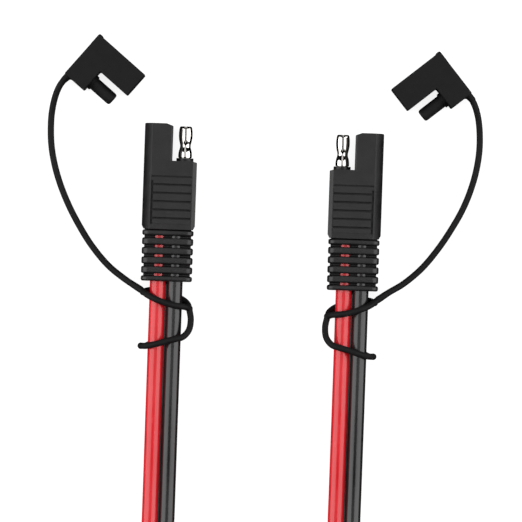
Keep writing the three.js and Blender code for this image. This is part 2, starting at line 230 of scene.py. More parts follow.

# %% [markdown]
# ## The tethers
# A tether is a 2 mm rubber cord from the cap to the ring. It drops to the table between them. It
# thickens into both, as moulded rubber does. When the cap swings, its cap end goes with the cap
# and its ring end stays.

# %% Tethers
TETHER_DIAMETER = 0.002
TETHER_STEP = 0.0008
TETHER_SIDES = 24
TETHER_ROUTES = {        # x, y and z in metres, from the cap to the ring
    "a": [
        (-0.06279, 0.03573, 0.00470), (-0.06415, 0.03390, 0.00435), (-0.06552, 0.03089, 0.00320),
        (-0.06676, 0.02563, 0.00160), (-0.06710, 0.02006, 0.00110), (-0.06685, 0.01479, 0.00105),
        (-0.06580, 0.00891, 0.00105), (-0.06407, 0.00303, 0.00105), (-0.06156, -0.00316, 0.00105),
        (-0.05837, -0.00935, 0.00105), (-0.05453, -0.01555, 0.00105), (-0.04942, -0.02174, 0.00150),
        (-0.04450, -0.02580, 0.00280), (-0.04070, -0.02835, 0.00410), (-0.03905, -0.02940, 0.00470),
    ],
    "b": [
        (0.06335, 0.02964, 0.00470), (0.06448, 0.02718, 0.00420), (0.06547, 0.02346, 0.00300),
        (0.06596, 0.01820, 0.00160), (0.06578, 0.01294, 0.00110), (0.06479, 0.00705, 0.00105),
        (0.06305, 0.00117, 0.00105), (0.06058, -0.00471, 0.00105), (0.05723, -0.01059, 0.00105),
        (0.05305, -0.01678, 0.00105), (0.04795, -0.02285, 0.00130), (0.04222, -0.02762, 0.00250),
        (0.03773, -0.03025, 0.00400), (0.03410, -0.03265, 0.00470),
    ],
}
tethers = {}
tether_paths = {}
for key, route in TETHER_ROUTES.items():
    path = smooth_line([Vector(p) - MIDDLE for p in route], TETHER_STEP)
    tether_paths[key] = path
    tether = tube(f"tether_cord_{key}", path, TETHER_DIAMETER / 2, TETHER_SIDES)
    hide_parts(f"tether_{key}")
    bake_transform(tether)
    tethers[key] = tether
    print("tether", key, "is", round(length_of(path), 4), "m long")

# %% [markdown]
# ## The connector's own frame
# Both ends carry the same moulding, and end b's is turned over. So each piece is modelled once in
# millimetres, in a frame of its own: +Y points out of the mating end, y = 0 is the end of the
# socket block, x = 0 the middle and z = 0 the mid-plane. The CAD model's mounts say where that
# frame lies on the table: one mount is a point on the block's end face and one is on the shelf
# by the pin. A cap's frame is found by undoing the two joints that would seat it.

# %% Frames of the two ends and caps
BLOCK_MOUNT = Vector((-7.0, 0, 0))       # the end face's mount, in the connector's own frame
PIN_X = 4.45
SOCKET_X = -3.3
CORE_X = 2.6
mounts = {m["name"]: m for m in record["mounts"]}
joints = {j["name"]: j for j in frame["joints"]}


def end_matrix(key):
    ahead = Vector(mounts[f"mating_face_{key}"]["axis"])
    face = Vector(mounts[f"mating_face_{key}"]["pos_m"])
    shelf = Vector(mounts[f"pin_shelf_{key}"]["pos_m"])
    across = shelf - face
    across -= across.dot(ahead) * ahead
    across.z = 0
    across.normalize()
    up = across.cross(ahead)
    turn = Matrix((across, ahead, up)).transposed().to_4x4()
    scale = Matrix.Diagonal((MM, MM, MM, 1))
    origin = face - turn.to_3x3() @ (BLOCK_MOUNT * MM)
    return Matrix.Translation(origin) @ turn @ scale


def cap_matrix(key):
    """The cap's frame at rest: seated on its connector, slid off, and swung back."""
    slide = joints[f"ring_{key}_slide"]
    swing = joints[f"cap_{key}_swing"]
    seated_angle = max(swing["range_deg"], key=abs)
    off = -Vector(slide["axis"]) * slide["range_m"][1]
    pivot = Vector(swing["pos_m"])
    back = Matrix.Rotation(math.radians(-seated_angle), 4, "Z")
    undo = Matrix.Translation(pivot) @ back @ Matrix.Translation(-pivot)
    return undo @ Matrix.Translation(off) @ end_matrix(key)


END = {key: end_matrix(key) for key in "ab"}
CAP = {key: cap_matrix(key) for key in "ab"}
for key in "ab":
    print("end", key, [round(x, 5) for x in END[key].translation],
          "cap", [round(x, 5) for x in CAP[key].translation])

# %% [markdown]
# ## Tools for modelling
# Most of these pieces are moulded in a steel tool that was milled from plain shapes, so they are
# modelled the same way: start from a block, shave its edges with planes, cut or join plain
# solids, and round what is left. These helpers select, shave, cut and round as one would by hand.


# %% Selecting and starting
def take(obj):
    bpy.ops.object.select_all(action="DESELECT")
    obj.select_set(True)
    bpy.context.view_layer.objects.active = obj
    return obj


def block(name, low, high):
    """A box between two corners, in the connector's millimetres."""
    low, high = Vector(low), Vector(high)
    bpy.ops.object.select_all(action="DESELECT")
    bpy.ops.mesh.primitive_cube_add(size=1, location=(low + high) / 2)
    obj = bpy.context.object
    obj.name = name
    obj.scale = high - low
    bpy.ops.object.transform_apply(location=True, rotation=True, scale=True)
    return obj


def round_bar(name, radius, x, front, back, sides=64):
    """A cylinder along Y."""
    bpy.ops.object.select_all(action="DESELECT")
    bpy.ops.mesh.primitive_cylinder_add(
        vertices=sides, radius=radius, depth=front - back,
        location=(x, (front + back) / 2, 0), rotation=(math.pi / 2, 0, 0))
    obj = bpy.context.object
    obj.name = name
    bpy.ops.object.transform_apply(location=True, rotation=True, scale=True)
    return obj


def slab(name, outline, low, high):
    """A flat plate with an outline of (x, y) points."""
    mesh = bpy.data.meshes.new(name)
    mesh.from_pydata([(x, y, low) for x, y in outline], [], [tuple(range(len(outline)))])
    obj = bpy.data.objects.new(name, mesh)
    bpy.context.scene.collection.objects.link(obj)
    take(obj)
    bpy.ops.object.mode_set(mode="EDIT")
    bpy.ops.mesh.select_all(action="SELECT")
    bpy.ops.mesh.extrude_region_move(TRANSFORM_OT_translate={"value": (0, 0, high - low)})
    bpy.ops.mesh.select_all(action="SELECT")
    bpy.ops.mesh.normals_make_consistent(inside=False)
    bpy.ops.object.mode_set(mode="OBJECT")
    return obj


# %% Shaving, cutting and rounding
DOUBLES_APART = 0.002    # mm; points closer than this are one point
FLAT_WITHIN = 0.5        # degrees; faces that meet flatter than this are one face
SHARP_FROM = 35          # degrees; edges sharper than this are shaded as edges


def shave(obj, point, normal):
    """Cut away what lies beyond a plane, and close the cut."""
    take(obj)
    bpy.ops.object.mode_set(mode="EDIT")
    bpy.ops.mesh.select_all(action="SELECT")
    bpy.ops.mesh.bisect(plane_co=point, plane_no=normal, use_fill=True, clear_outer=True)
    bpy.ops.object.mode_set(mode="OBJECT")


def merge(pieces, name):
    """Join separate solids into one object, without welding them."""
    take(pieces[0])
    for obj in pieces[1:]:
        obj.select_set(True)
    bpy.ops.object.join()
    pieces[0].name = name
    return pieces[0]


def combine(obj, other, operation):
    """Add or cut another solid, which is used up."""
    take(obj)
    modifier = obj.modifiers.new("combine", "BOOLEAN")
    modifier.object = other
    modifier.operation = operation
    modifier.solver = "EXACT"
    bpy.ops.object.modifier_apply(modifier=modifier.name)
    bpy.data.objects.remove(other)


def tidy(obj):
    """Merge doubles and flat neighbours, so that a bevel finds only real edges."""
    take(obj)
    bpy.ops.object.mode_set(mode="EDIT")
    bpy.ops.mesh.select_all(action="SELECT")
    bpy.ops.mesh.remove_doubles(threshold=DOUBLES_APART)
    bpy.ops.mesh.dissolve_limited(angle_limit=math.radians(FLAT_WITHIN))
    bpy.ops.mesh.normals_make_consistent(inside=False)
    bpy.ops.object.mode_set(mode="OBJECT")


def soften(obj, width, segments=3, angle=30):
    """Round every edge sharper than angle."""
    take(obj)
    modifier = obj.modifiers.new("soften", "BEVEL")
    modifier.width = width
    modifier.segments = segments
    modifier.limit_method = "ANGLE"
    modifier.angle_limit = math.radians(angle)
    bpy.ops.object.modifier_apply(modifier=modifier.name)
    even_shading(obj)


def even_shading(obj):
    """Smooth shading that keeps big flat faces flat, by weighing normals by area."""
    take(obj)
    bpy.ops.object.shade_smooth_by_angle(angle=math.radians(SHARP_FROM))
    weighted = obj.modifiers.new("weighted", "WEIGHTED_NORMAL")
    weighted.keep_sharp = True
    bpy.ops.object.modifier_apply(modifier=weighted.name)


def round_edges_along(obj, axis, radius, segments):
    """Bevel a block's edges that run along one axis: 0 is X and 1 is Y."""
    take(obj)
    bpy.ops.object.mode_set(mode="EDIT")
    bpy.ops.mesh.select_mode(type="EDGE")
    bpy.ops.mesh.select_all(action="DESELECT")
    bpy.ops.object.mode_set(mode="OBJECT")
    for edge in obj.data.edges:
        a, b = (obj.data.vertices[v].co for v in edge.vertices)
        edge.select = abs((b - a).normalized()[axis]) > 0.99
    bpy.ops.object.mode_set(mode="EDIT")
    bpy.ops.mesh.bevel(offset=radius, segments=segments, affect="EDGES")
    bpy.ops.object.mode_set(mode="OBJECT")


def melt(obj, voxel, smoothing):
    """Weld overlapping solids into one skin of voxels, and smooth the joints in passes."""
    take(obj)
    remesh = obj.modifiers.new("melt", "REMESH")
    remesh.mode = "VOXEL"
    remesh.voxel_size = voxel
    bpy.ops.object.modifier_apply(modifier=remesh.name)
    smooth = obj.modifiers.new("smooth", "SMOOTH")
    smooth.iterations = smoothing
    bpy.ops.object.modifier_apply(modifier=smooth.name)
    bpy.ops.object.shade_smooth()


def spun(name, profile, x, steps=64):
    """A profile of (radius, y) points turned about the line that runs along Y at x."""
    mesh = bpy.data.meshes.new(name)
    edges = [(i, i + 1) for i in range(len(profile) - 1)]
    mesh.from_pydata([(x + radius, y, 0) for radius, y in profile], edges, [])
    obj = bpy.data.objects.new(name, mesh)
    bpy.context.scene.collection.objects.link(obj)
    take(obj)
    bpy.ops.object.mode_set(mode="EDIT")
    bpy.ops.mesh.select_all(action="SELECT")
    bpy.ops.mesh.spin(steps=steps, angle=2 * math.pi, center=(x, 0, 0), axis=(0, 1, 0))
    bpy.ops.mesh.select_all(action="SELECT")
    bpy.ops.mesh.remove_doubles(threshold=DOUBLES_APART / 4)
    bpy.ops.mesh.normals_make_consistent(inside=False)
    bpy.ops.object.mode_set(mode="OBJECT")
    bpy.ops.object.shade_smooth_by_angle(angle=math.radians(SHARP_FROM))
    return obj


# %% [markdown]
# A finished piece is copied to both ends. Each copy has a mesh of its own, whose points are
# carried to their place, so that its object stays at the origin, unturned and unscaled.


# %% Placing a piece on both ends
placed = {}


def place_on_ends(obj, matrices, body, replaced, slot):
    """Copy obj to both ends, tie each copy to its body, hide the node that it replaces, and use obj up."""
    for key in "ab":
        twin = obj.copy()
        twin.data = obj.data.copy()
        twin.name = f"{obj.name}_{key}"
        twin.data.name = twin.name
        bpy.context.scene.collection.objects.link(twin)
        twin.data.transform(matrices[key])
        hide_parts(f"{replaced}_{key}")
        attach(twin, body.format(key))
        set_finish(twin, slot)
        placed[twin.name] = twin
    bpy.data.objects.remove(obj)
    print("placed", twin.name[:-2], len(twin.data.polygons), "faces")


# %% [markdown]
# ## The overmould
# The body is soft PVC injected round the contacts. It is a flat housing with a socket block on one
# side and a shelf for the pin on the other. Its outer side is rolled off in two facets, and a
# ribbed thumb grip stands a little proud of both faces.

# %% Housing and socket block
HALF_THICK = 4.4
HALF_WIDE = 8.2
BODY_BACK = -32.7
SHELF_Y = -11.5
BLOCK_RIGHT = 0.5
SLOPE_45 = 0.707


def roll_off(obj):
    """The two facets on the outer side, above and below."""
    for up in (1, -1):
        shave(obj, (-5.7, 0, up * HALF_THICK), (-SLOPE_45, 0, up * SLOPE_45))
        shave(obj, (-7.1, 0, up * 3.0), (-0.894, 0, up * 0.447))


housing = block("overmould_shell", (-HALF_WIDE, BODY_BACK, -HALF_THICK),
                (HALF_WIDE, SHELF_Y, HALF_THICK))
roll_off(housing)
for up in (1, -1):       # the narrow chamfers on the pin's side
    shave(housing, (7.1, 0, up * HALF_THICK), (0.67, 0, up * 0.74))
shave(housing, (6.9, SHELF_Y, 0), (0.29, 0.957, 0))              # the shelf's outer end
for side in (1, -1):     # the back corners
    shave(housing, (side * HALF_WIDE, -31.6, 0), (side * 0.88, -0.48, 0))

socket_block = block("socket_block", (-HALF_WIDE, SHELF_Y - 3, -HALF_THICK),
                     (BLOCK_RIGHT, 0, HALF_THICK))
roll_off(socket_block)
for up in (1, -1):       # the long edges beside the pin
    shave(socket_block, (0.1, 0, up * HALF_THICK), (SLOPE_45, 0, up * SLOPE_45))
shave(socket_block, (-1.4, 0, 0), (0.346, 0.938, 0))             # its end, towards the pin
shave(socket_block, (-7.9, 0, 0), (-0.6, 0.8, 0))                # its end's outer corner
combine(housing, socket_block, "UNION")
tidy(housing)
print("housing", len(housing.data.vertices), "points")

# %% [markdown]
# Each rib of the grip is a low saw tooth: it rises to a crest and falls to the next groove, so a
# thumb that pulls the plug out catches on it. The grooves are cut below the face, and a channel
# as deep runs down the left ends of the ribs.

# %% Ribbed grip
GRIP_LEFT = -5.6
GRIP_RIGHT = 6.8
GRIP_BACK = -31.0
GROOVE_FIRST = -16.4
GROOVE_PITCH = 2.6
GROOVE_COUNT = 6
GROOVE_WIDTH = 0.5
RIB_ROOT = 3.8
RIB_TOP = 4.7
RIB_CREST = 0.93         # where the crest lies, from the front (0) to the back (1) of a rib
RIB_RISE = 0.10          # slope from the front of a rib up to its crest
RIB_FALL = 1.2           # slope from the crest down to the next groove
GROOVE_FLOOR = 3.2
CUT_TOP = 6              # clear of everything above the face
CHANNEL_WIDTH = 0.6
CHANNEL_LAP = 0.05       # the channel is cut this far outside the ribs, to leave no sliver

for up in (1, -1):
    ribs = []
    grooves = []
    for i in range(GROOVE_COUNT):
        middle = GROOVE_FIRST - i * GROOVE_PITCH
        front = middle - GROOVE_WIDTH / 2
        back = max(front - GROOVE_PITCH + GROOVE_WIDTH, GRIP_BACK)
        low, high = sorted((up * RIB_ROOT, up * RIB_TOP))
        rib = block("rib", (GRIP_LEFT, back, low), (GRIP_RIGHT, front, high))
        crest = front - RIB_CREST * (GROOVE_PITCH - GROOVE_WIDTH)
        shave(rib, (0, crest, up * RIB_TOP), (0, RIB_RISE, up))
        shave(rib, (0, crest, up * RIB_TOP), (0, -RIB_FALL, up))
        if i == GROOVE_COUNT - 1:
            shave(rib, (GRIP_LEFT + 1, GRIP_BACK, 0), (-SLOPE_45, -SLOPE_45, 0))
        ribs.append(rib)
        low, high = sorted((up * GROOVE_FLOOR, up * CUT_TOP))
        groove_corner = (GRIP_RIGHT, front + GROOVE_WIDTH, high)
        grooves.append(block("groove", (GRIP_LEFT, front, low), groove_corner))
    combine(housing, merge(ribs, "ribs"), "UNION")
    combine(housing, merge(grooves, "grooves"), "DIFFERENCE")
    channel = block("channel", (GRIP_LEFT - CHANNEL_LAP, GRIP_BACK - 0.2, low),
                    (GRIP_LEFT + CHANNEL_WIDTH, GROOVE_FIRST - GROOVE_PITCH / 2, high))
    combine(housing, channel, "DIFFERENCE")
print("ribbed housing", len(housing.data.vertices), "points")

# %% [markdown]
# The housing is hollow, as the PVC was moulded round the carrier and the contacts. A hair of play
# all round keeps the skins of the pieces apart. Holes open for the pin's foot, the socket tube and
# the two cores.

# %% Hollow of the housing
CARRIER_LOW = Vector((-5.9, -29.5, -2.7))
CARRIER_HIGH = Vector((6.9, -14.5, 2.7))
PLAY = Vector((0.05, 0.05, 0.05))
NOSE_HOLE = 2.8
SOCKET_HOLE = 2.65
CORE_HOLE = 2.55

combine(housing, block("cavity", CARRIER_LOW - PLAY, CARRIER_HIGH + PLAY), "DIFFERENCE")
combine(housing, round_bar("nose_hole", NOSE_HOLE, PIN_X, SHELF_Y + 1, -14.6), "DIFFERENCE")
combine(housing, round_bar("socket_hole", SOCKET_HOLE, SOCKET_X, 1, -15), "DIFFERENCE")
for side in (1, -1):
    core_hole = round_bar("core_hole", CORE_HOLE, side * CORE_X, -29, BODY_BACK - 1)
    combine(housing, core_hole, "DIFFERENCE")
tidy(housing)
soften(housing, 0.16, segments=2, angle=28)
place_on_ends(housing, END, "lead", "overmould", "moulded_pvc")

# %% [markdown]
# ## The strain relief
# Six flat ribs on a thinner spine let the moulding bend with the cable. The slots between them
# have round floors that break into the cores' channels, so each slot shows a lens of red and one
# of black. Each rib is a block whose long edges are rounded, then softened all round.

# %% Strain relief
BOOT_FRONT = -32.95
BOOT_BACK = -48.8
SLOT_FIRST = -35.05
SLOT_PITCH = 2.94
SLOT_COUNT = 5
SLOT_WIDTH = 0.74
SLOT_FLOOR = 2.22
FLOOR_HALF = SLOT_WIDTH / 2 + 0.04       # a floor is cut a little wider than the slot shows
SPINE_HALF = 2.75
SPINE_WIDE = 7.2
SPINE_FRONT = -32.72
BOOT_RIB_HALF = 4.2
BOOT_RIB_WIDE = 7.9
BOOT_RIB_ROUND = 2.1
CHANNEL_RADIUS = 2.66

boot = block("strain_relief_boot", (-SPINE_WIDE, BOOT_BACK + 0.2, -SPINE_HALF),
             (SPINE_WIDE, SPINE_FRONT, SPINE_HALF))
boot_ribs = []
floors = []
for i in range(SLOT_COUNT + 1):
    slot = SLOT_FIRST - i * SLOT_PITCH
    front = BOOT_FRONT if i == 0 else slot + SLOT_PITCH - SLOT_WIDTH / 2
    back = BOOT_BACK if i == SLOT_COUNT else slot + SLOT_WIDTH / 2
    rib = block("boot_rib", (-BOOT_RIB_WIDE, back, -BOOT_RIB_HALF),
                (BOOT_RIB_WIDE, front, BOOT_RIB_HALF))
    round_edges_along(rib, 1, BOOT_RIB_ROUND, 6)
    soften(rib, 0.55, segments=4, angle=50)
    boot_ribs.append(rib)
    if i == SLOT_COUNT:
        break            # no slot follows the last rib
    for up in (1, -1):
        low, high = sorted((up * SLOT_FLOOR, up * 4))
        floor_cut = block("slot_floor", (-10, slot - FLOOR_HALF, low),
                          (10, slot + FLOOR_HALF, high))
        round_edges_along(floor_cut, 0, 0.9 * FLOOR_HALF, 5)
        floors.append(floor_cut)
combine(boot, merge(floors, "slot_floors"), "DIFFERENCE")
combine(boot, merge(boot_ribs, "boot_ribs"), "UNION")
for side in (1, -1):
    channel = round_bar("core_channel", CHANNEL_RADIUS, side * CORE_X, BOOT_FRONT + 1,
                        BOOT_BACK - 1)
    combine(boot, channel, "DIFFERENCE")
even_shading(boot)
place_on_ends(boot, END, "lead", "strain_relief", "moulded_pvc")

# %% [markdown]
# ## Contacts and their carrier
# The carrier is a hard black moulding with a stepped bore for each contact and a chamber behind
# it for the crimp and the core. Only its round nose shows, at the foot of the pin.
#
# The pin is turned brass with a bright nickel plate: a hollow nose slit into three springy leaves,
# a waist, and a straight foot. A spun profile gives the round shape. Each slit is cut by a thin
# slab, narrow at its root, with the small relief hole that keeps the brass from cracking.

# %% Carrier
NOSE_RADIUS = 2.65
SHANK_BORE = 1.75
BARREL_BORE = 2.04
CHAMBER_HALF = 2.2
CHAMBERS = [(PIN_X, 0.4, 6.6), (SOCKET_X, -5.5, -0.4)]   # a contact's x, its chamber's two sides

carrier = block("carrier_core", CARRIER_LOW, CARRIER_HIGH)
combine(carrier, round_bar("nose", NOSE_RADIUS, PIN_X, -10.55, -15.5), "UNION")
for x, left, right in CHAMBERS:
    combine(carrier, round_bar("shank_bore", SHANK_BORE, x, -9, -19.5), "DIFFERENCE")
    combine(carrier, round_bar("barrel_bore", BARREL_BORE, x, -18.8, -23.5), "DIFFERENCE")
    chamber = block("chamber", (left, -30, -CHAMBER_HALF), (right, -23, CHAMBER_HALF))
    combine(carrier, chamber, "DIFFERENCE")
tidy(carrier)
soften(carrier, 0.18, segments=3, angle=40)
place_on_ends(carrier, END, "lead", "terminal_carrier", "carrier_plastic")

# %% Pin
CRIMP_BARREL = [         # both contacts end in the same barrel, open at the back for the strands
    (0, -19.6), (1.6, -19.6), (1.6, -24.2), (1.7, -24.35), (1.9, -24.35), (2.0, -24.2),
    (2.0, -19.3), (1.9, -19),
]
PIN_PROFILE = [
    *CRIMP_BARREL,
    (1.75, -18.9), (1.7, -18.6), (1.7, -10.5), (1.95, -10.42), (2.08, -10.3),
    (2.11, -10.1), (2.11, -9.6), (2.09, -9.2), (2.03, -8.7), (1.93, -8.2), (1.8, -7.75),
    (1.68, -7.35), (1.62, -7.0), (1.61, -6.7), (1.64, -6.4), (1.72, -6.05), (1.82, -5.65),
    (1.92, -5.2), (2.01, -4.7), (2.08, -4.1), (2.12, -3.4), (2.11, -2.7), (2.06, -2.1),
    (1.99, -1.5), (1.9, -1.05), (1.78, -0.8), (1.6, -0.7), (1.05, -0.7), (0.95, -0.78),
    (0.9, -0.95), (0.9, -8), (0, -8),
]
SLIT_HALF = [            # half the slit's width, and where
    (0.15, 0), (0.2, -1.2), (0.25, -2.2), (0.2, -3.1), (0.12, -4.1), (0.11, -4.7), (0.22, -5.0),
    (0.26, -5.3), (0.22, -5.6), (0.1, -5.85),
]
pin = spun("male_pin_body", PIN_PROFILE, PIN_X)
slit_outline = [(PIN_X + x, y) for x, y in SLIT_HALF]
slit_outline += [(PIN_X - x, y) for x, y in reversed(SLIT_HALF)]


def about_pin(degrees):
    to_axis = Matrix.Translation((PIN_X, 0, 0))
    return to_axis @ Matrix.Rotation(math.radians(degrees), 4, "Y") @ to_axis.inverted()


for turn in (0, 120, 240):
    slit = slab("slit", slit_outline, 0.2, 3)
    slit.data.transform(about_pin(turn))
    combine(pin, slit, "DIFFERENCE")
soften(pin, 0.05, segments=2, angle=50)
pin_places = {"a": END["a"], "b": END["b"] @ about_pin(180)}   # one slit faces up at both ends
place_on_ends(pin, pin_places, "lead", "male_pin", "nickel_plated_brass")

# %% Socket
SOCKET_PROFILE = [
    *CRIMP_BARREL,
    (1.7, -18.9), (1.7, -14.2), (1.9, -13.9), (2.4, -13.6), (2.5, -13.4), (2.5, -1.3),
    (2.45, -1.15), (2.35, -1.1), (2.27, -1.12), (2.13, -1.4), (2.13, -11.8), (2.0, -12), (0, -12),
]
socket = spun("female_socket_tube", SOCKET_PROFILE, SOCKET_X)
place_on_ends(socket, END, "lead", "female_socket", "nickel_plated_brass")

# %% [markdown]
# ## The dust cap
# The cap is one soft rubber moulding: a thick base with a lip for a fingernail, a sleeve block that
# swallows the bare pin, a peg that plugs the socket, and a root that runs out into the tether. It
# is modelled where it would sit on the connector, and placed where it lies.

# %% Dust cap
CAP_HALF = 4.7
CAP_BACK = 8.2
CAP_SEAT = 0.3
CAP_FAR = -7.1
CAP_OUTER = 9.1
CAP_TIP = -10.8
SLEEVE_LEFT = 0.65
LIP_FAR = 9.4
PIN_POCKET = 2.4
NOSE_POCKET = 2.9        # the pocket's mouth is wider, to go over the carrier's nose

cap = block("dust_cap_moulding", (CAP_FAR, CAP_SEAT, -CAP_HALF), (CAP_OUTER, CAP_BACK, CAP_HALF))
sleeve = block("sleeve", (SLEEVE_LEFT, CAP_TIP, -CAP_HALF), (CAP_OUTER, 4, CAP_HALF))
combine(cap, sleeve, "UNION")
tidy(cap)
soften(cap, 0.4, segments=4, angle=40)
lip = block("lip", (5, 6.6, -CAP_HALF), (LIP_FAR, CAP_BACK + 0.05, CAP_HALF))
soften(lip, 0.6, segments=5, angle=40)
combine(cap, lip, "UNION")

PEG_PROFILE = [
    (0, -8.4), (1.35, -8.4), (1.62, -8.33), (1.85, -8.15), (1.98, -7.88), (2.04, -7.5),
    (2.04, -0.9), (2.1, -0.75), (2.3, -0.7), (2.45, -0.6), (2.5, -0.45), (2.5, 1.5), (0, 1.5),
]
combine(cap, spun("peg", PEG_PROFILE, SOCKET_X, 48), "UNION")
combine(cap, round_bar("pin_pocket", PIN_POCKET, PIN_X, 0, -12), "DIFFERENCE")
combine(cap, round_bar("nose_pocket", NOSE_POCKET, PIN_X, -10.2, -12), "DIFFERENCE")
print("cap", len(cap.data.vertices), "points")

# %% [markdown]
# The tether grows out of the cap's back corner. A tapered stub and a thin filleted slab are
# melted into one root, which covers the end of the cord.

# %% Root of the tether
STUB_ROUTE = [Vector((-6.2, 6.9, 0)), Vector((-7.4, 7.05, 0)), Vector((-9.2, 7.2, 0))]
STUB_THICK = 1.3
STUB_TAPER = 0.26        # how much thinner the stub is where it meets the cord
FILLET_MIDDLE = Vector((-8.7, 4.7))
FILLET_WIDE = 1.7
FILLET_HIGH = 1.75
FILLET_STEPS = 8
GUSSET_HALF = 0.8

stub_line = smooth_line(STUB_ROUTE, 0.3)
stub_last = len(stub_line) - 1
stub_radii = [STUB_THICK - STUB_TAPER * i / stub_last for i in range(len(stub_line))]
stub = tube("root_stub", stub_line, 0, 28, stub_radii)
root_outline = [(-6, 8.0), (-8.9, 7.6), (-8.9, 6.5)]
for i in range(1, FILLET_STEPS + 1):
    angle = math.radians(90 - 90 * i / FILLET_STEPS)
    root_outline.append((FILLET_MIDDLE.x + FILLET_WIDE * math.cos(angle),
                         FILLET_MIDDLE.y + FILLET_HIGH * math.sin(angle)))
root_outline.append((-6, 4.7))
gusset = slab("root_gusset", root_outline, -GUSSET_HALF, GUSSET_HALF)
root = merge([stub, gusset], "tether_root")
melt(root, 0.1, 5)
combine(cap, root, "UNION")
even_shading(cap)
place_on_ends(cap, CAP, "cap_{}", "dust_cap", "cap_rubber")

# %% [markdown]
# ## The figure-eight ring
# The ring is one loop of rubber pinched in the middle, threaded twice over the cable. Each strand
# is a tube through a few points, over the cable and back under it. A sleeve carries the tether's
# end into the pinch, and the front strand starts inside it. A voxel remesh melts them into one
# skin, as the mould does, and a light smoothing rounds the joints. End b's connector is turned
# over, but its ring isn't: the strands that show on top are the same, mirrored.

# %% Figure-eight ring
RING_RADIUS = 1.0
RING_SIDES = 20
JUNCTION = (-7.1, -52.4, 0)
KNOT = (7.4, -57, 0)
CROSSING = (4.8, -54.1, -3.4)
FAR_TIP = (-7.2, -69, 0)
RING_STRANDS = [         # in turn over the cable, under it, over it and under it
    [(-5.6, -53.2, 2.3), (-2.8, -54.5, 3.58), (0.15, -55.5, 3.58), (3.2, -56.2, 3.5), (6, -56.5, 2),
     KNOT],
    [JUNCTION, (-6.6, -52.1, -2.2), (-4.6, -51.7, -3.4), (0, -52.9, -3.58), CROSSING,
     (6.7, -55.5, -2.3), KNOT],
    [KNOT, (8, -60.4, 0.8), (7.5, -63.7, 2), (5.7, -65.8, 3), (3.5, -66.5, 3.58),
     (0.5, -67.3, 3.58), (-2.4, -68.2, 3.55), (-5.3, -68.9, 2.5), FAR_TIP],
    [CROSSING, (3.2, -56.6, -3.55), (0.6, -60.9, -3.58), (-2, -65.6, -3.58), (-4.2, -68.1, -3.5),
     (-5.7, -68.95, -2.8), FAR_TIP],
]
BEADS = {JUNCTION: 1.0, KNOT: 1.12, FAR_TIP: 1.05}       # thickened spots and their radii
SLEEVE_STEPS = 5
SLEEVE_THIN = 1.04
SLEEVE_GROWTH = 0.06

for key, mirror in (("a", 1), ("b", -1)):
    place = END[key] @ Matrix.Diagonal((mirror, 1, mirror, 1))
    to_local = place.inverted()
    tether_end = [to_local @ p for p in tether_paths[key][-1 - SLEEVE_STEPS:]]
    sleeve_radii = [SLEEVE_THIN + SLEEVE_GROWTH * i / SLEEVE_STEPS for i in range(len(tether_end))]
    pieces = [tube("sleeve", tether_end, 0, 24, sleeve_radii)]
    for number, points in enumerate(RING_STRANDS):
        points = [Vector((mirror * x, y, z)) for x, y, z in points]
        if number == 0:
            points = [tether_end[-3], tether_end[-1], *points]
        pieces.append(tube("strand", smooth_line(points, 0.35), RING_RADIUS, RING_SIDES))
    for (x, y, z), radius in BEADS.items():
        bpy.ops.object.select_all(action="DESELECT")
        bpy.ops.mesh.primitive_uv_sphere_add(
            segments=24, ring_count=16, radius=radius, location=(mirror * x, y, z))
        bpy.ops.object.transform_apply(location=True, rotation=True, scale=True)
        pieces.append(bpy.context.object)
    ring = merge(pieces, f"figure_eight_ring_{key}")
    melt(ring, 0.14, 4)
    ring.data.transform(place)
    ring.data.name = ring.name
    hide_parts(f"retaining_ring_{key}")
    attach(ring, f"ring_{key}")
    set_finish(ring, "cap_rubber")
    placed[ring.name] = ring
    print(ring.name, len(ring.data.polygons), "faces")

# %% [markdown]
# ## Materials
# Every finish starts from what the real one is. Colours are written as sRGB hex and turned to
# linear by one function, and one function adds a node with its settings and links.


# %% Colour and node helpers
def linear(hex_colour):
    """The sRGB curve undone: a straight foot, and a power above it."""
    values = [int(hex_colour[i:i + 2], 16) / 255 for i in (1, 3, 5)]
    channels = [v / 12.92 if v <= 0.04045 else ((v + 0.055) / 1.055) ** 2.4 for v in values]
    return (*channels, 1)


def add(tree, kind, settings=None, links=None):
    """A new node. Settings that name a socket go to it, and the others to the node itself."""
    node = tree.nodes.new(kind)
    for name, value in (settings or {}).items():
        if isinstance(name, str) and name not in node.inputs:
            setattr(node, name, value)
        else:
            node.inputs[name].default_value = value
    for name, source in (links or {}).items():
        tree.links.new(source, node.inputs[name])
    return node


def new_material(name, settings):
    material = bpy.data.materials.new(name)
    material.use_nodes = True
    shader = material.node_tree.nodes["Principled BSDF"]
    for socket, value in settings.items():
        shader.inputs[socket].default_value = value
    return material, material.node_tree, shader


def bump_from(tree, shader, height, strength, depth):
    """Tilt the surface by a height that is depth metres deep at most."""
    bump = add(tree, "ShaderNodeBump", {"Strength": strength, "Distance": depth},
               {"Height": height})
    tree.links.new(bump.outputs["Normal"], shader.inputs["Normal"])


SEAM_HEIGHT = 4.7 * MM   # where the mould's halves meet: the connectors' mid-plane
SEAM_HALF = 0.09 * MM
SEAM_STRENGTH = 3.0      # against 1 for the grain


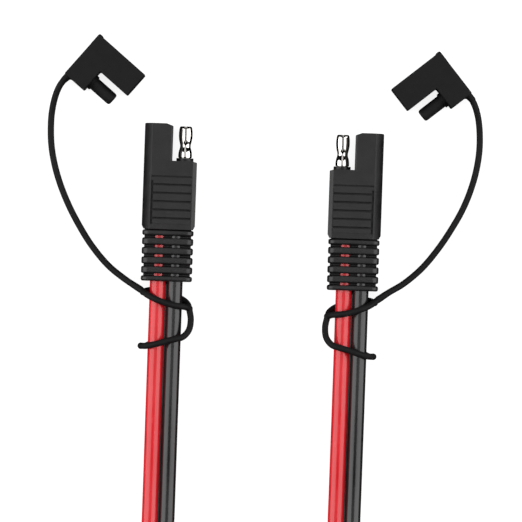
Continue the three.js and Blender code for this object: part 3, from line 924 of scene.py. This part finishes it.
def moulded_grain(tree, shader, place, grain_mm, depth_mm, seam=False):
    """The grain that a spark-eroded mould leaves, and the fine line where its halves met."""
    grain = add(tree, "ShaderNodeTexNoise", {"Scale": 1 / (grain_mm * MM), "Detail": 3},
                {"Vector": place})
    height = grain.outputs["Fac"]
    if seam:
        z = add(tree, "ShaderNodeSeparateXYZ", links={"Vector": place}).outputs["Z"]
        above = add(tree, "ShaderNodeMath", {"operation": "SUBTRACT", 1: SEAM_HEIGHT}, {0: z})
        distance = add(tree, "ShaderNodeMath", {"operation": "ABSOLUTE"}, {0: above.outputs[0]})
        line = add(tree, "ShaderNodeMapRange",
                   {"From Max": SEAM_HALF, "To Min": SEAM_STRENGTH, "To Max": 0.0},
                   {"Value": distance.outputs[0]})
        total = add(tree, "ShaderNodeMath", {"operation": "ADD"}, {0: height, 1: line.outputs[0]})
        height = total.outputs[0]
    bump_from(tree, shader, height, 0.6, depth_mm * MM)


def wander(tree, shader, place, size_mm, shades, roughness):
    """Colour and roughness that drift over the surface, as resin and handling leave them."""
    drift = add(tree, "ShaderNodeTexNoise", {"Scale": 1 / (size_mm * MM), "Detail": 4},
                {"Vector": place})
    ramp = add(tree, "ShaderNodeValToRGB", links={"Fac": drift.outputs["Fac"]})
    for element, position, shade in zip(ramp.color_ramp.elements, (0.35, 0.65), shades):
        element.position = position
        element.color = linear(shade)
    tree.links.new(ramp.outputs["Color"], shader.inputs["Base Color"])
    low, high = roughness
    rough = add(tree, "ShaderNodeMapRange",
                {"From Min": 0.3, "From Max": 0.7, "To Min": low, "To Max": high},
                {"Value": drift.outputs["Fac"]})
    tree.links.new(rough.outputs["Result"], shader.inputs["Roughness"])


# %% [markdown]
# Flexible PVC moulded in a spark-eroded tool is a very dark grey with a satin, slightly mottled
# skin. Its soft shine is what separates the flat faces from the facets. The index of refraction
# is that of the real plastic, and the specular level takes off what the grain's own shadows dull.


# %% Moulded PVC
def moulded_pvc():
    material, tree, shader = new_material(
        "moulded_pvc_satin", {"IOR": 1.53, "Specular IOR Level": 0.42})
    place = add(tree, "ShaderNodeTexCoord").outputs["Object"]
    wander(tree, shader, place, 5, ("#131213", "#191718"), (0.34, 0.44))
    moulded_grain(tree, shader, place, 0.35, 0.02, seam=True)
    return material


# %% [markdown]
# The carrier is glass-filled nylon: harder and blacker than the PVC, with a fainter shine.


# %% Glass-filled nylon
def carrier_plastic():
    material, tree, shader = new_material(
        "glass_filled_nylon", {"IOR": 1.53, "Specular IOR Level": 0.3})
    place = add(tree, "ShaderNodeTexCoord").outputs["Object"]
    wander(tree, shader, place, 2, ("#060606", "#0c0c0c"), (0.34, 0.44))
    moulded_grain(tree, shader, place, 0.2, 0.01)
    return material


# %% [markdown]
# The caps, tethers and rings are matt black rubber. It takes dust into its pores, so it is a
# shade less black than the nylon, and it has almost no shine.


# %% Soft rubber
def cap_rubber():
    material, tree, shader = new_material(
        "moulded_rubber_matt", {"IOR": 1.52, "Specular IOR Level": 0.2})
    place = add(tree, "ShaderNodeTexCoord").outputs["Object"]
    wander(tree, shader, place, 3, ("#0d0c0d", "#131213"), (0.6, 0.72))
    moulded_grain(tree, shader, place, 0.4, 0.025, seam=True)
    return material


# %% [markdown]
# Extruded insulation is smooth and shines in long bands. The die leaves faint streaks along the
# cable, so its noise is stretched along the cord's own UV map, which counts metres.


# %% Extruded PVC
STREAKS_ROUND = 9
STREAK_LENGTH = 12 * MM
UNSCALED = 1000          # wander's size that leaves the noise as the mapping made it


def insulation(name, shades):
    material, tree, shader = new_material(name, {"IOR": 1.53})
    coordinates = add(tree, "ShaderNodeTexCoord")
    stretched = add(tree, "ShaderNodeMapping", {"Scale": (STREAKS_ROUND, 1 / STREAK_LENGTH, 1)},
                    {"Vector": coordinates.outputs["UV"]})
    wander(tree, shader, stretched.outputs["Vector"], UNSCALED, shades, (0.2, 0.28))
    moulded_grain(tree, shader, coordinates.outputs["Object"], 0.9, 0.012)
    return material


# %% [markdown]
# Bright nickel over turned brass mirrors the room, with a breath of yellow. Fine rings from the
# lathe still show through the plate. They are drawn at 0.4 mm, coarser than real, to show at all.


# %% Bright nickel plate
def nickel():
    material, tree, shader = new_material("bright_nickel_plate", {"Metallic": 1.0})
    place = add(tree, "ShaderNodeTexCoord").outputs["Object"]
    wander(tree, shader, place, 1.5, ("#d2cfca", "#e2dfda"), (0.06, 0.12))
    rings = add(tree, "ShaderNodeTexWave",
                {"bands_direction": "Y", "Scale": 1 / (1.25 * MM), "Distortion": 0.4},
                {"Vector": place})
    bump_from(tree, shader, rings.outputs["Fac"], 0.15, 0.01 * MM)
    return material


# %% [markdown]
# The stripped ends inside the housing are bunched copper. A wave across the bunch stands for its
# separate wires.


# %% Bunched copper
def copper():
    material, tree, shader = new_material("bunched_copper", {"Metallic": 1.0})
    place = add(tree, "ShaderNodeTexCoord").outputs["Object"]
    wander(tree, shader, place, 0.8, ("#a8623a", "#c98a5c"), (0.25, 0.4))
    wires = add(tree, "ShaderNodeTexWave", {"Scale": 1 / (1.2 * MM), "Distortion": 1.0},
                {"Vector": place})
    bump_from(tree, shader, wires.outputs["Fac"], 0.8, 0.1 * MM)
    return material


# %% Assign the finishes
finishes = {
    "moulded_pvc": moulded_pvc(),
    "carrier_plastic": carrier_plastic(),
    "cap_rubber": cap_rubber(),
    "nickel_plated_brass": nickel(),
    "copper_strands": copper(),
    "red_pvc": insulation("extruded_pvc_red", ("#c4101a", "#d01a24")),
    "black_pvc": insulation("extruded_pvc_black", ("#141314", "#1a1819")),
}


def wear(obj, slot):
    obj.data.materials.clear()
    obj.data.materials.append(finishes[slot])
    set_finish(obj, slot)


for obj in placed.values():
    wear(obj, obj["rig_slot"])
for tether in tethers.values():
    wear(tether, "cap_rubber")
wear(cores["red_core"], "red_pvc")
wear(cores["black_core"], "black_pvc")
wear(web, "black_pvc")
for name, node in frame["nodes"].items():
    if "strands" in name:
        node.data.materials.clear()
        node.data.materials.append(finishes["copper_strands"])
print("finishes:", sorted(finishes))

# %% [markdown]
# ## Floor and light
# The lead lies on a softly back-lit white table, which keeps its shadows pale. Two long soft boxes
# stand left and right of it, so a round core shows a bright band on each flank with a darker
# stripe between them. A dimmer one hangs overhead: the flat faces mirror it and look grey, while
# the facets and edges mirror the dark room and look black. A weak one beyond the pins' tips keeps
# the ends of the pieces from going black. The floor is left out of reflections, or the sides and
# edges of the black pieces would mirror it and turn pale.

# %% Floor
FLOOR_Z = -0.00005       # a hair under the table's plane, so that no piece dips into it
FLOOR_SIZE = 4

bpy.ops.object.select_all(action="DESELECT")
bpy.ops.mesh.primitive_plane_add(size=FLOOR_SIZE, location=(0, 0, FLOOR_Z))
floor = bpy.context.object
floor.name = "floor"
floor_look = {
    "Base Color": linear("#9a9a9a"), "Roughness": 0.9, "Specular IOR Level": 0.1,
    "Emission Color": (1, 1, 1, 1), "Emission Strength": 0.84,
}
floor.data.materials.append(new_material("back_lit_acrylic", floor_look)[0])
floor.visible_glossy = False
print("floor at", FLOOR_Z, "m")

# %% Lights
SOFT_BOXES = [           # name, where it stands, its width and length, its watts
    ("left_soft_box", (-1.05, 0, 0.75), (1.0, 1.8), 16),
    ("right_soft_box", (1.05, 0, 0.75), (1.0, 1.8), 16),
    ("front_soft_box", (0, 1.25, 0.6), (1.4, 0.9), 2.5),
    ("overhead_soft_box", (0, 0.6, 1.8), (0.9, 1.9), 4.3),
]
ROOM_LIGHT = 0.3

for name, location, size, watts in SOFT_BOXES:
    light = bpy.data.lights.new(name, "AREA")
    light.shape = "RECTANGLE"
    light.size, light.size_y = size
    light.energy = watts
    soft_box = bpy.data.objects.new(name, light)
    soft_box.location = location
    soft_box.rotation_euler = (-Vector(location)).to_track_quat("-Z", "Y").to_euler()
    bpy.context.scene.collection.objects.link(soft_box)

world = bpy.data.worlds.new("studio")
bpy.context.scene.world = world
world.use_nodes = True
world.node_tree.nodes["Background"].inputs["Color"].default_value = (1, 1, 1, 1)
world.node_tree.nodes["Background"].inputs["Strength"].default_value = ROOM_LIGHT
world.cycles_visibility.glossy = False   # the room lights the pieces but isn't mirrored in them
bpy.context.scene.view_settings.view_transform = "Standard"
print("lights:", [box[0] for box in SOFT_BOXES])
